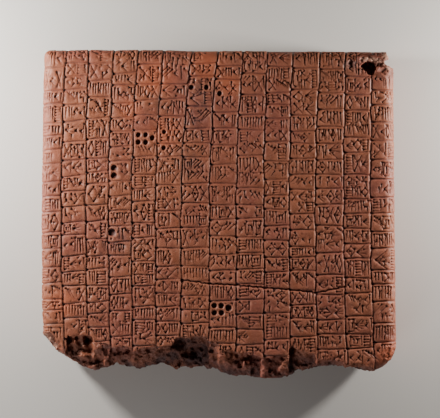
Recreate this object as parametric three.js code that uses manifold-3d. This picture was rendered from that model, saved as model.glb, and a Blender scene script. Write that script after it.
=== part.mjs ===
// A large square clay tablet, written in ruled columns and broken along its foot.
// It lies on its reverse, in millimetres: +X to the reader's right, +Y to the head
// of the text and +Z up. The origin is on the ground under the tablet's middle.

import * as THREE from 'three';
import { mergeVertices } from 'three/addons/utils/BufferGeometryUtils.js';
import Module from 'manifold-3d';

// Size of the tablet as it is left.
const TABLET_WIDTH = 240;
const TABLET_HEIGHT = 221.4;
const TABLET_THICKNESS = 42;

// Roundings and bows of the pressed clay.
const OBVERSE_EDGE = 8;
const REVERSE_EDGE = 14;
const HEAD_CORNER_RADIUS = 5;
const FOOT_CORNER_RADIUS = 17;
const REVERSE_BULGE = 3;
const LEFT_SIDE_BOW = 1.8;
const RIGHT_SIDE_LEAN = 2.6;
const HEAD_LEAN = 1.2;
const FOOT_CORNER_RISE = 7;
const FOOT_OVERHANG = 1;

// Ruled lines and stylus marks.
const COLUMN_RULING_WIDTH = 2;
const COLUMN_RULING_DEPTH = 1.3;
const CASE_RULING_WIDTH = 1.5;
const CASE_RULING_DEPTH = 0.9;
const STROKE_LENGTH = 6;
const STROKE_HEAD = 2.6;
const STROKE_DEPTH = 1;
const LOWEST_WRITTEN_CASE = 11;
const LOWEST_DOUBLE_CASE = 15;
const NUMBER_DIAMETER = 4;
const NUMBER_DEPTH = 2.2;

// Losses at the right of the head.
const LOST_CORNER = 9;
const PIT_WIDTH = 10;
const PIT_DEPTH = 9;

const HALF_WIDTH = TABLET_WIDTH / 2;
const HALF_HEIGHT = TABLET_HEIGHT / 2;
const SIDE_HIGH = TABLET_THICKNESS - OBVERSE_EDGE;
const SIDE_LOW = REVERSE_EDGE;
const QUARTER_TURN = Math.PI / 2;

// Share of each half of the reverse that is flat, for the tablet to lie on.
const REVERSE_FLAT = 0.52;

// Grid of the slab: its steps across each face and up each side, and the share of
// the steps across that fall inside the rounded border.
const FACE_STEPS = 9;
const SIDE_STEPS = 4;
const INNER_STEPS = 1 / 3;

// The layout is kept as shares: 238 of them span the width and 221 the height.
const WIDTH_SHARES = 238;
const HEIGHT_SHARES = 221;

// Widths of the fourteen columns, halfway down the tablet.
const COLUMNS = [14, 16.5, 15, 15.5, 16, 17, 19, 18, 18.5, 17, 17.5, 19, 18, 17];

// How far each ruling swings right by the head, from the first to the last.
const RULING_LEAN = [2.5, 2.5, 3, 3.5, 4, 5, 6.5, 5, 4, 2.5, 2, 2.5, 1.5];
const RULING_FOOT_LEAN = 1.5;
const RULING_TURN = -0.1;

// Heights of the cases down each column, from the head to the break.
const CASES = [
  [13, 15, 9, 13, 8, 10, 9, 12, 10, 10, 14, 11, 12, 11, 11, 7, 10],
  [9, 9, 9, 10, 11, 14, 12, 11, 10, 10, 11, 8, 14, 11, 9, 12, 10, 14],
  [9, 12, 11, 14, 14, 13, 9, 8, 14, 11, 12, 11, 9, 11, 11, 8, 9, 10],
  [16, 8, 12, 10, 9, 10, 10, 13, 10, 10, 10, 11, 9, 14, 12, 11, 17, 9],
  [10, 13, 11, 10, 10, 18, 12, 9, 9, 14, 10, 16, 16, 14, 9, 17],
  [23, 10, 12, 18, 9, 19, 17, 12, 13, 12, 9, 9, 9, 10, 9, 8],
  [9, 9, 20, 15, 10, 9, 18, 13, 16, 14, 12, 10, 10, 9, 9, 11],
  [11, 9, 22, 11, 11, 13, 13, 14, 10, 11, 12, 11, 9, 11, 18, 10],
  [16, 14, 14, 10, 17, 22, 11, 9, 13, 10, 11, 10, 10, 10, 10, 10],
  [11, 18, 8, 9, 16, 13, 12, 11, 9, 11, 10, 11, 10, 11, 16, 18, 11],
  [12, 15, 17, 11, 8, 10, 11, 10, 16, 11, 11, 7, 9, 13, 10, 9, 12],
  [13, 16, 11, 12, 11, 11, 10, 9, 11, 14, 18, 15, 13, 17, 10, 10],
  [18, 12, 11, 18, 10, 15, 16, 10, 10, 10, 10, 13, 10, 16, 12, 10],
  [27, 10, 12, 12, 13, 13, 12, 11, 12, 11, 15, 9, 12, 15, 13],
];
const CASE_SLANT = 1.8;

// The broken foot: place across, then how far down the obverse and the lip reach.
const BREAK = [
  [0, 188, 190], [10, 191, 202], [19, 193, 207], [28, 194, 213], [40, 196, 214],
  [51, 196, 211], [65, 201, 215], [80, 199, 210], [91, 195, 214.5], [110, 194, 212],
  [124, 202, 218], [141, 203, 219], [157, 206.5, 221.8], [168, 202, 217], [176, 202, 214],
  [195, 208, 212], [211, 211, 215], [225, 218, 224], [238, 224, 230],
];
const BREAK_ROUGHNESS = 1.2;
const BREAK_LIP_LEVEL = 0.5;
const BREAK_UNDERCUT = 7;

// Round number marks: where the first of each group stands, and how many there are.
const NUMBERS = [
  { across: 65.5, down: 57, marks: 3, perRow: 2 },
  { across: 101, down: 25.5, marks: 2, perRow: 2 },
  { across: 116, down: 171, marks: 5, perRow: 2 },
  { across: 49.5, down: 79.5, marks: 2, perRow: 1 },
  { across: 48, down: 122.5, marks: 1, perRow: 1 },
];
const NUMBER_PITCH = 5;

const CLAY = new THREE.MeshStandardMaterial({ color: 0x7d4c3d, roughness: 0.9, metalness: 0 });

const wasm = await Module();
wasm.setup();

function fromLeft(share) {
  return TABLET_WIDTH * share / WIDTH_SHARES - HALF_WIDTH;
}

function fromHead(share) {
  return HALF_HEIGHT - TABLET_HEIGHT * share / HEIGHT_SHARES;
}

function mix(first, second, share) {
  return first + (second - first) * share;
}

function clamp(value, low, high) {
  return Math.min(Math.max(value, low), high);
}

// The same chance from 0 to 1 for the same place each time.
function chance(column, row, mark) {
  const wave = Math.sin(column * 127.1 + row * 311.7 + mark * 74.7) * 43758.5453;
  return wave - Math.floor(wave);
}

// Moves a point of the plain square plan to the tablet's own uneven outline.
function settle(x, y) {
  const across = (x + HALF_WIDTH) / TABLET_WIDTH;
  const down = (HALF_HEIGHT - y) / TABLET_HEIGHT;
  const leftIn = LEFT_SIDE_BOW * (2 * down - 1) ** 2;
  const rightIn = RIGHT_SIDE_LEAN * (1 - down);
  const foot = FOOT_CORNER_RISE * (x / HALF_WIDTH) ** 2 - FOOT_OVERHANG;
  return {
    x: x + leftIn * (1 - across) - rightIn * across,
    y: y - HEAD_LEAN * across * (1 - down) + foot * down ** 10,
  };
}

// Takes a point on the skin of a plain block to its place on the tablet's skin,
// with the way that the clay faces there.
function skin(x, y, z) {
  const toSide = HALF_WIDTH - Math.abs(x);
  const toEnd = HALF_HEIGHT - Math.abs(y);
  const inset = Math.max(Math.min(toSide, toEnd), 0);
  const upper = z > TABLET_THICKNESS / 2;
  const edge = upper ? OBVERSE_EDGE : REVERSE_EDGE;
  const turn = Math.min(inset / edge, 1) * QUARTER_TURN;
  const ring = inset < edge ? edge * (1 - Math.cos(turn)) : inset;
  const level = z / TABLET_THICKNESS;

  let ringX = x;
  let ringY = y;
  if (inset < edge) {
    ringX = x * (HALF_WIDTH - ring) / (HALF_WIDTH - inset);
    ringY = y * (HALF_HEIGHT - ring) / (HALF_HEIGHT - inset);
  }
  const radius = y > 0 ? HEAD_CORNER_RADIUS : FOOT_CORNER_RADIUS;
  const pastX = Math.abs(ringX) - (HALF_WIDTH - radius);
  const pastY = Math.abs(ringY) - (HALF_HEIGHT - radius);
  if (pastX > 0 && pastY > 0 && ring < radius) {
    const pull = (radius - ring) / Math.hypot(pastX, pastY);
    ringX = Math.sign(ringX) * (HALF_WIDTH - radius + pastX * pull);
    ringY = Math.sign(ringY) * (HALF_HEIGHT - radius + pastY * pull);
  }

  let height = mix(SIDE_LOW, SIDE_HIGH, level);
  if (inset > 0 && upper) {
    height = SIDE_HIGH + OBVERSE_EDGE * Math.sin(turn);
  } else if (inset > 0) {
    height = SIDE_LOW * (1 - Math.sin(turn));
  }
  const shareX = Math.abs(ringX) / HALF_WIDTH;
  const shareY = Math.abs(ringY) / HALF_HEIGHT;
  const outward = clamp((Math.max(shareX, shareY) - REVERSE_FLAT) / (1 - REVERSE_FLAT), 0, 1);
  if (!upper) {
    height += REVERSE_BULGE * outward ** 2 * (1 - level);
  }

  const place = settle(ringX, ringY);
  const normal = new THREE.Vector3();
  if (toSide < toEnd) {
    normal.set(Math.sign(x) * Math.cos(turn), 0, Math.sin(turn));
  } else {
    normal.set(0, Math.sign(y) * Math.cos(turn), Math.sin(turn));
  }
  return { point: new THREE.Vector3(place.x, place.y, height), normal };
}

function toSolid(geometry) {
  const bare = geometry.index ? geometry.clone() : mergeVertices(geometry);
  bare.deleteAttribute('normal');
  bare.deleteAttribute('uv');
  const merged = mergeVertices(bare, 1e-5);
  return new wasm.Manifold(new wasm.Mesh({
    numProp: 3,
    vertProperties: new Float32Array(merged.attributes.position.array),
    triVerts: new Uint32Array(merged.index.array),
  }));
}

function toGeometry(solid) {
  const mesh = solid.getMesh();
  const geometry = new THREE.BufferGeometry();
  geometry.setAttribute('position', new THREE.BufferAttribute(mesh.vertProperties, 3));
  geometry.setIndex(new THREE.BufferAttribute(mesh.triVerts, 1));
  geometry.computeVertexNormals();
  return geometry;
}

function addAll(solids) {
  return solids.reduce((whole, next) => whole.add(next));
}

function eachPoint(geometry, move) {
  const positions = geometry.attributes.position;
  const point = new THREE.Vector3();
  for (let n = 0; n < positions.count; n += 1) {
    point.fromBufferAttribute(positions, n);
    move(point);
    positions.setXYZ(n, point.x, point.y, point.z);
  }
  return geometry;
}

// Crowds the steps of an even grid towards the rounded border and into it.
function crowd(place, half, edge) {
  const size = Math.abs(place);
  const inner = (half - edge) * Math.sqrt(size / INNER_STEPS);
  const outer = half - edge * (1 - size) / (1 - INNER_STEPS);
  return Math.sign(place) * (size < INNER_STEPS ? inner : outer);
}

// The pressed slab of clay before it was written on and broken.
function makeSlab() {
  const slab = new THREE.BoxGeometry(2, 2, 2, FACE_STEPS, FACE_STEPS, SIDE_STEPS);
  eachPoint(slab, (point) => {
    const edge = mix(REVERSE_EDGE, OBVERSE_EDGE, (point.z + 1) / 2);
    const x = crowd(point.x, HALF_WIDTH, edge);
    const y = crowd(point.y, HALF_HEIGHT, edge);
    const z = (point.z + 1) / 2 * TABLET_THICKNESS;
    point.copy(skin(x, y, z).point);
  });
  return toSolid(slab);
}

// A V-shaped cutter that follows a path of skin points.
function groove(path, width, depth) {
  const lift = depth;
  const positions = [];
  path.forEach(({ point, normal }, n) => {
    const ahead = path[Math.min(n + 1, path.length - 1)].point;
    const behind = path[Math.max(n - 1, 0)].point;
    const along = ahead.clone().sub(behind);
    const side = along.cross(normal).normalize().multiplyScalar(width);
    const above = point.clone().addScaledVector(normal, lift);
    const below = point.clone().addScaledVector(normal, -depth);
    positions.push(above.clone().add(side), above.clone().sub(side), below);
  });
  const faces = [0, 1, 2];
  for (let n = 0; n < path.length - 1; n += 1) {
    for (let k = 0; k < 3; k += 1) {
      const a = 3 * n + k;
      const b = 3 * n + (k + 1) % 3;
      faces.push(a, a + 3, b, b, a + 3, b + 3);
    }
  }
  const last = 3 * (path.length - 1);
  faces.push(last, last + 2, last + 1);
  const geometry = new THREE.BufferGeometry().setFromPoints(positions);
  geometry.setIndex(faces);
  return toSolid(geometry);
}

// Where ruling number n stands, a given way up the tablet. The outermost two are
// the tablet's own sides.
function rulingX(number, y) {
  const shares = COLUMNS.slice(0, number).reduce((sum, width) => sum + width, 0);
  if (number === 0 || number === COLUMNS.length) {
    return fromLeft(shares);
  }
  const up = y / HALF_HEIGHT - RULING_TURN;
  const lean = up > 0 ? RULING_LEAN[number - 1] : RULING_FOOT_LEAN * Math.sin(number);
  return fromLeft(shares + lean * up ** 2);
}

// The ruled lines between the columns, turned over the head and the foot.
function makeColumnRulings() {
  const steps = 6;
  const flatEnd = HALF_HEIGHT - OBVERSE_EDGE;
  const turnedEnd = HALF_HEIGHT - OBVERSE_EDGE / 2;
  const levels = [-HALF_HEIGHT, -turnedEnd];
  for (let n = 0; n <= steps; n += 1) {
    levels.push(mix(-flatEnd, flatEnd, n / steps));
  }
  levels.push(turnedEnd, HALF_HEIGHT);
  const rulings = [];
  for (let number = 1; number < COLUMNS.length; number += 1) {
    const path = levels.map((y) => skin(rulingX(number, y), y, TABLET_THICKNESS));
    rulings.push(groove(path, COLUMN_RULING_WIDTH, COLUMN_RULING_DEPTH));
  }
  return rulings;
}

// The edges of the cases in a column, counted down from the head.
function caseEdges(column) {
  const edges = [0];
  for (const height of CASES[column]) {
    edges.push(edges[edges.length - 1] + height);
  }
  return edges;
}

function caseSlant(column) {
  return CASE_SLANT * (1 - column / COLUMNS.length) ** 3;
}

// A ruled line between two cases, turned over the side in the outer columns.
function caseRuling(column, share) {
  const y = fromHead(share);
  const left = rulingX(column, y);
  const right = rulingX(column + 1, y);
  const rise = caseSlant(column) / 2;
  const path = [];
  if (column === 0) {
    path.push(skin(left, y - rise, TABLET_THICKNESS));
    path.push(skin(left + OBVERSE_EDGE / 2, y - rise, TABLET_THICKNESS));
    path.push(skin(left + OBVERSE_EDGE, y - rise / 2, TABLET_THICKNESS));
  } else {
    path.push(skin(left, y - rise, TABLET_THICKNESS));
  }
  if (column === COLUMNS.length - 1) {
    path.push(skin(right - OBVERSE_EDGE, y, TABLET_THICKNESS));
    path.push(skin(right - OBVERSE_EDGE / 2, y, TABLET_THICKNESS));
    path.push(skin(right, y, TABLET_THICKNESS));
  } else {
    path.push(skin(right, y + rise, TABLET_THICKNESS));
  }
  return groove(path, CASE_RULING_WIDTH, CASE_RULING_DEPTH);
}

function makeCaseRulings() {
  const rulings = [];
  for (let column = 0; column < COLUMNS.length; column += 1) {
    for (const share of caseEdges(column).slice(1)) {
      rulings.push(caseRuling(column, share));
    }
  }
  return rulings;
}

// One press of the stylus: a wide deep head that runs out to a point.
function stroke(x, y, angle) {
  const { point, normal } = skin(x, y, TABLET_THICKNESS);
  const along = new THREE.Vector3(Math.cos(angle), Math.sin(angle), 0);
  const side = new THREE.Vector3().crossVectors(normal, along).normalize();
  const lift = STROKE_DEPTH;
  const place = (forward, aside, up) => point.clone()
    .addScaledVector(along, forward)
    .addScaledVector(side, aside)
    .addScaledVector(normal, up);
  const geometry = new THREE.BufferGeometry().setFromPoints([
    place(-STROKE_LENGTH * 0.8, STROKE_HEAD, lift),
    place(-STROKE_LENGTH * 0.8, -STROKE_HEAD, lift),
    place(STROKE_LENGTH, 0, lift),
    place(-STROKE_LENGTH * 0.3, 0, -STROKE_DEPTH),
  ]);
  geometry.setIndex([0, 1, 2, 0, 3, 1, 1, 3, 2, 2, 3, 0]);
  return toSolid(geometry);
}

// Rows of strokes that stand in the cases and spell nothing.
function makeStrokes() {
  const angles = [-QUARTER_TURN, -QUARTER_TURN, -0.8, -2.3, 0];
  const strokes = [];
  for (let column = 0; column < COLUMNS.length; column += 1) {
    const edges = caseEdges(column);
    for (let row = 0; row < edges.length - 1; row += 1) {
      const height = edges[row + 1] - edges[row];
      const marks = (height > LOWEST_WRITTEN_CASE) + (height > LOWEST_DOUBLE_CASE);
      for (let mark = 0; mark < marks; mark += 1) {
        const y = fromHead(edges[row] + height / 2);
        const left = rulingX(column, y);
        const right = rulingX(column + 1, y);
        const share = (mark + 0.3 + 0.4 * chance(column, row, mark)) / marks;
        const pick = Math.floor(chance(row, column, mark + 9) * angles.length);
        strokes.push(stroke(mix(left, right, share), y, angles[pick]));
      }
    }
  }
  return strokes;
}

// Round marks pressed with the butt of the stylus.
function makeNumbers() {
  const mouth = NUMBER_DIAMETER / 2;
  const floor = NUMBER_DIAMETER / 3;
  const sides = 6;
  const solids = [];
  for (const { across, down, marks, perRow } of NUMBERS) {
    for (let mark = 0; mark < marks; mark += 1) {
      const x = fromLeft(across) + NUMBER_PITCH * (mark % perRow);
      const y = fromHead(down) - NUMBER_PITCH * Math.floor(mark / perRow);
      const { point } = skin(x, y, TABLET_THICKNESS);
      const tool = new THREE.CylinderGeometry(mouth, floor, 2 * NUMBER_DEPTH, sides);
      tool.rotateX(QUARTER_TURN);
      tool.translate(point.x, point.y, point.z);
      solids.push(toSolid(tool));
    }
  }
  return solids;
}

// How far up the tablet the break runs, at a place across and a level.
function breakLine(x, z) {
  const share = (x + HALF_WIDTH) * WIDTH_SHARES / TABLET_WIDTH;
  const next = clamp(BREAK.findIndex(([across]) => across > share), 1, BREAK.length - 1);
  const [leftAcross, leftFace, leftLip] = BREAK[next - 1];
  const [rightAcross, rightFace, rightLip] = BREAK[next];
  const between = clamp((share - leftAcross) / (rightAcross - leftAcross), 0, 1);
  const face = fromHead(mix(leftFace, rightFace, between));
  const lip = fromHead(mix(leftLip, rightLip, between));
  const level = z / TABLET_THICKNESS;
  if (level < BREAK_LIP_LEVEL) {
    const under = 1 - level / BREAK_LIP_LEVEL;
    return lip + BREAK_UNDERCUT * under ** 2;
  }
  const sunk = clamp((1 - level) / (1 - BREAK_LIP_LEVEL), 0, 1);
  const rough = Math.sin(x * 0.9 + z * 0.7) * Math.sin(x * 0.31 - z * 1.3);
  const roughness = BREAK_ROUGHNESS * rough * Math.sin(Math.PI * sunk);
  return mix(face, lip, sunk ** 0.8) + roughness;
}

// Everything below the break, taken away in one cut.
function makeLostFoot() {
  const margin = 10;
  const geometry = new THREE.BoxGeometry(
    TABLET_WIDTH + margin,
    2,
    TABLET_THICKNESS + margin,
    36,
    1,
    4,
  );
  eachPoint(geometry, (point) => {
    const z = point.z + TABLET_THICKNESS / 2;
    const top = point.y > 0;
    const y = top ? breakLine(point.x, z) : -TABLET_HEIGHT;
    point.set(point.x, y, z);
  });
  return toSolid(geometry);
}

// The corner that is gone at the right of the head.
function makeLostCorner() {
  const sides = 7;
  const turn = 0.3;
  const length = 2 * TABLET_THICKNESS;
  const geometry = new THREE.CylinderGeometry(LOST_CORNER, LOST_CORNER, length, sides);
  geometry.rotateX(QUARTER_TURN);
  geometry.rotateZ(turn);
  geometry.translate(HALF_WIDTH, HALF_HEIGHT - LOST_CORNER / 4, TABLET_THICKNESS / 2);
  return toSolid(geometry);
}

// The deep pit beside the lost corner, and the bruise between them.
function makePit() {
  const pit = new THREE.IcosahedronGeometry(1, 1);
  pit.scale(PIT_WIDTH / 2, PIT_WIDTH / 2.4, PIT_DEPTH);
  pit.translate(fromLeft(222), fromHead(12.5), TABLET_THICKNESS);
  const bruise = new THREE.IcosahedronGeometry(1, 1);
  bruise.scale(PIT_WIDTH, PIT_WIDTH * 0.55, PIT_DEPTH / 3);
  bruise.translate(fromLeft(231), fromHead(11.5), TABLET_THICKNESS);
  return toSolid(pit).add(toSolid(bruise));
}

function makeTablet() {
  const cuts = addAll([
    ...makeColumnRulings(),
    ...makeCaseRulings(),
    ...makeStrokes(),
    ...makeNumbers(),
    makeLostFoot(),
    makeLostCorner(),
    makePit(),
  ]);
  const mesh = new THREE.Mesh(toGeometry(makeSlab().subtract(cuts)), CLAY);
  mesh.name = 'clay_tablet';
  return mesh;
}

const tablet = new THREE.Group();
tablet.add(makeTablet());

export default tablet;
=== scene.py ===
"""A large square clay tablet, ruled in columns and covered with stylus marks, broken
along its foot. It lies on its reverse, seen from straight above.

The relief is worked out in millimetres on a flat canvas and pressed into the clay.
Blender's own lengths are metres."""

import math
import random

import bpy
import numpy as np
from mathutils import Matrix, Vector


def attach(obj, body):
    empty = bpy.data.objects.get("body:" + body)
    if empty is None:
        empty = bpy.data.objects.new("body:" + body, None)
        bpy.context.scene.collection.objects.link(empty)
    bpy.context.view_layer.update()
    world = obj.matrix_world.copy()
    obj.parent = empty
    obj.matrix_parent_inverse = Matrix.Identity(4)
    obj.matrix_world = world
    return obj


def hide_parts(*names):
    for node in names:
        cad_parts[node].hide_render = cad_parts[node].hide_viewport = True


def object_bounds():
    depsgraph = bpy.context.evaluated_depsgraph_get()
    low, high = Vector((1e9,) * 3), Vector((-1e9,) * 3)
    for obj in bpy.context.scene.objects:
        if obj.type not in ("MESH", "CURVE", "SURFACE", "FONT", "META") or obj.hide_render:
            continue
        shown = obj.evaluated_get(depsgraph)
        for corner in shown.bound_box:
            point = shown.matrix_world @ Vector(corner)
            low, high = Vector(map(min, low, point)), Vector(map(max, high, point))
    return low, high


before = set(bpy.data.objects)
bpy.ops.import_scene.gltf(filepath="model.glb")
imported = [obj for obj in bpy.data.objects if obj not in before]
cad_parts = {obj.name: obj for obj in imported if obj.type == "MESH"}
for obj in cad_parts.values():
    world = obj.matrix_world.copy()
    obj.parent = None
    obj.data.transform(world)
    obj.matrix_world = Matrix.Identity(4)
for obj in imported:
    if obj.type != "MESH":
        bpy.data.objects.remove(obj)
CAD_LOW, CAD_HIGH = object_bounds()

bl_info = {
    "name": "Cuneiform tablet",
    "version": (1, 0, 0),
    "blender": (4, 5, 0),
    "location": "3D View > Sidebar > Tablet",
    "description": "Makes a ruled and inscribed clay tablet and its studio",
    "category": "Add Mesh",
}

NODE = "clay_tablet"
BODY = "root"
MM = 0.001
MOST_TRIANGLES = 196000

# The layout is kept as shares: 238 of them span the width and 221 the height.
WIDTH_SHARES = 238
HEIGHT_SHARES = 221

# Widths of the fourteen columns, halfway down the tablet.
COLUMNS = (14, 16.5, 15, 15.5, 16, 17, 19, 18, 18.5, 17, 17.5, 19, 18, 17)

# How far each ruling swings right by the head, from the first to the last.
RULING_LEAN = (1.5, 0.5, 2.5, 3, 4, 6, 4.5, 4, 2.5, 2.5, 3.5, 2, 2)
RULING_FOOT_LEAN = 3
RULING_TURN = -0.1

# Heights of the cases down each column, from the head to the break.
CASES = (
    (13, 15, 9, 13, 8, 10, 9, 12, 10, 10, 14, 11, 12, 11, 11, 7, 10),
    (9, 9, 9, 10, 11, 14, 12, 11, 10, 10, 11, 8, 14, 11, 9, 12, 10, 14),
    (9, 12, 11, 14, 14, 13, 9, 8, 14, 11, 12, 11, 9, 11, 11, 8, 9, 10),
    (16, 8, 12, 10, 9, 10, 10, 13, 10, 10, 10, 11, 9, 14, 12, 11, 17, 9),
    (10, 13, 11, 10, 10, 18, 12, 9, 9, 14, 10, 16, 16, 14, 9, 17),
    (23, 10, 12, 18, 9, 19, 17, 12, 13, 12, 9, 9, 9, 10, 9, 8),
    (9, 9, 20, 15, 10, 9, 18, 13, 16, 14, 12, 10, 10, 9, 9, 11),
    (11, 9, 22, 11, 11, 13, 13, 14, 10, 11, 12, 11, 9, 11, 18, 10),
    (16, 14, 14, 10, 17, 22, 11, 9, 13, 10, 11, 10, 10, 10, 10, 10),
    (11, 18, 8, 9, 16, 13, 12, 11, 9, 11, 10, 11, 10, 11, 16, 18, 11),
    (12, 15, 17, 11, 8, 10, 11, 10, 16, 11, 11, 7, 9, 13, 10, 9, 12),
    (13, 16, 11, 12, 11, 11, 10, 9, 11, 14, 18, 15, 13, 17, 10, 10),
    (18, 12, 11, 18, 10, 15, 16, 10, 10, 10, 10, 13, 10, 16, 12, 10),
    (27, 10, 12, 12, 13, 13, 12, 11, 12, 11, 15, 9, 12, 15, 13),
)
LAST_CASE_HEIGHT = 14
CASE_SLANT = 1.8

# The broken foot: place across, then how far down the obverse and the lip reach.
BREAK = (
    (0, 188, 190), (10, 191, 202), (19, 193, 207), (28, 194, 213), (40, 196, 214),
    (51, 196, 211), (65, 201, 215), (80, 199, 210), (91, 195, 214.5), (110, 194, 212),
    (124, 202, 218), (141, 203, 219), (157, 206.5, 221.8), (168, 202, 217),
    (176, 202, 214), (195, 208, 211.5), (211, 209.5, 212.5), (225, 214.5, 217),
    (238, 224, 230),
)
BREAK_LIP_LEVEL = 0.5
BREAK_UNDERCUT = 7
BREAK_ROUNDING = 0.8

# The top of the break, seen from above: place across, where the written face ends,
# and how deep in millimetres the break lies below it there and out at the lip.
FRACTURE = (
    (0, 188.6, 2, 8), (5.3, 188.6, 2.2, 9), (8.6, 190.6, 1.8, 9), (17.1, 201.3, 0.5, 6),
    (17.6, 192, 5.5, 6.5), (34.2, 192, 5, 6.5), (34.8, 195.3, 0.9, 6), (46.2, 197.3, 1, 7),
    (46.8, 199.3, 3.5, 10), (60.4, 200, 4, 11), (61.1, 202, 1.5, 12), (77, 198, 3, 13),
    (78.2, 200.7, 4, 13), (86.5, 198.7, 5, 14), (90.5, 193.3, 6, 14), (93.3, 192.6, 7, 15),
    (110.9, 192.6, 8, 15), (111.7, 196, 3, 12), (117.6, 196.7, 3, 12), (118.4, 201.3, 1.6, 11),
    (129, 202, 2, 11), (129.9, 202.7, 3, 12), (145.8, 205, 4, 12), (146.6, 206, 1.6, 5),
    (165.4, 206, 2.2, 6), (166.4, 198, 3.5, 12), (171.1, 201.3, 4, 12), (175, 202.7, 4, 12),
    (182.8, 203.3, 4, 12), (183.7, 207.4, 1.5, 8), (201.5, 208.7, 1.5, 8),
    (202.2, 210.7, 1, 6), (220.7, 212.1, 1, 6), (221.6, 218, 0.5, 4), (238, 225, 0.5, 4),
)

# Hollows and lumps on the break: across, down, how wide, how tall and how high.
CRAGS = (
    (3, 193, 1.2, 2, -2), (8, 197, 1.5, 2.2, -2.5), (12.5, 201.5, 1.6, 1.6, -2),
    (5.5, 195, 1, 1.6, 2), (10.5, 200, 1.2, 1.8, 2), (18.9, 194, 1.6, 2.4, -2.5),
    (25.8, 197.6, 1.8, 2.6, -3), (30.8, 194.4, 2.2, 1.8, -3), (22.6, 195.3, 1.6, 2.2, 3),
    (29.3, 199.3, 1.8, 2.6, 3), (33, 197.5, 1, 2, 2), (28, 205, 6, 2.6, 3.5),
    (37.8, 208.5, 1.6, 1.6, -2.5), (100, 203, 7, 6, -3), (121, 205, 4, 3, 2),
    (137, 207, 5, 2, -2.5), (131, 211, 9, 3, 2.5),
)

# Rough losses at the right of the head: place across, down and above the face, half
# its width, height and depth, and a seed.
LOSSES = (
    (238.6, 3.0, -21, 7.2, 8.0, 36, 11),
    (236.8, 9.0, -21, 8.2, 3.8, 36, 18),
    (218.6, 11.4, 0, 5.0, 2.8, 11, 12),
    (219.6, 14.0, 0, 2.2, 3.6, 9, 17),
    (225.5, 10.7, 0, 5.0, 1.4, 3.4, 14),
    (230, 14.4, 1.3, 6.5, 4.0, 2.9, 13),
    (220.5, 7.4, 1.7, 9.5, 2.6, 2.8, 15),
    (206.5, 9.5, 0.8, 2.6, 4.6, 2.0, 16),
)

# Round number marks: across, down, how many, how many in a row, spacing, diameter.
NUMBERS = (
    (65.5, 57.5, 4, 2, 4.9, 4.0),
    (74.8, 59.5, 1, 1, 0, 4.2),
    (82.7, 55.5, 1, 1, 0, 3.4),
    (82.5, 66.2, 1, 1, 0, 3.6),
    (101, 25.6, 2, 2, 10, 3.8),
    (119.9, 29.7, 1, 1, 0, 3.8),
    (115.8, 171.5, 4, 2, 4.7, 4.2),
    (125.3, 172.9, 1, 1, 0, 4.8),
    (49.3, 79.6, 2, 1, 5.1, 4.8),
    (47.8, 122.6, 1, 1, 0, 5.6),
)

# A hairline crack across the lower middle: places across and down.
CRACK = ((94, 154), (105, 155.7), (112, 156.7), (131, 157.7), (149, 159.4),
         (167, 160.8), (185, 162.8), (194, 160.8), (203, 158.8))

# Four kinds of spots, each a place across and down and a size. The bruises are
# battered places where the marks are lost. The dark stains are stains on the face,
# but the three on the break at the foot are painted shade.
BRUISES = ((230.5, 14, 6.5), (221, 7.8, 5), (214, 7.4, 3.5), (228, 6, 4), (206.5, 9.5, 3),
           (233, 204, 5.5))
PALE_CHIPS = ((214.5, 7.2, 1.8), (217.5, 7.0, 2.2), (221, 7.4, 2.4), (225, 8.4, 2.4),
              (228.5, 9.6, 1.8), (229.5, 4.6, 2.6), (231, 13, 1.6), (3, 191.5, 2.2),
              (6.5, 194, 2.2), (9.5, 198.5, 2.4), (12, 204, 2.4), (27.5, 197.5, 1.6))
DARK_STAINS_AND_FOOT_SHADE = ((100.5, 76.5, 8), (95, 71, 5), (107, 25, 9), (107, 37, 8), (103, 47, 7),
               (118, 30, 4), (77, 34, 4), (52, 128, 9), (205, 10, 6), (99, 201, 11),
               (88, 204, 6), (109, 198, 6))
RED_FLUSHES = ((76, 20, 14), (110, 12, 13), (83, 56, 11), (125, 24, 9), (60, 40, 8),
               (231, 202, 8), (14, 170, 10))

# Colours that the clay takes in small places. The rim colour is a painted highlight on the raised
# edges of the marks.
SPECK_COLOUR = (0.36, 0.25, 0.2)
FLUSH_COLOUR = (0.38, 0.088, 0.034)
RIM_HIGHLIGHT_COLOUR = (0.38, 0.135, 0.072)
CHIP_COLOUR = (0.48, 0.25, 0.18)

# The lights: name, place, what they are aimed at, size and colour.
LIGHTS = (
    ("left", (-0.31, 0.12, 0.13), (-0.03, 0, 0.04), 0.05, (1.0, 0.95, 0.88)),
    ("right", (0.36, 0.09, 0.085), (0.03, 0, 0.04), 0.05, (1.0, 0.95, 0.88)),
    ("foot", (-0.22, -0.45, 0.17), (0, -0.1, 0.03), 0.2, (1.0, 0.94, 0.90)),
)
AIR_COLOUR = (0.9, 0.93, 1, 1)
AIR_STRENGTH = 0.02
FLOOR_SIZE = 6

# The camera: its place over the tablet, and how wide its picture is at a level.
CAMERA_X = 0.0005
CAMERA_Y = 0.0036
PICTURE_WIDTH = 0.2952
PICTURE_LEVEL = 0.036
SENSOR_WIDTH = 36


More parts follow.
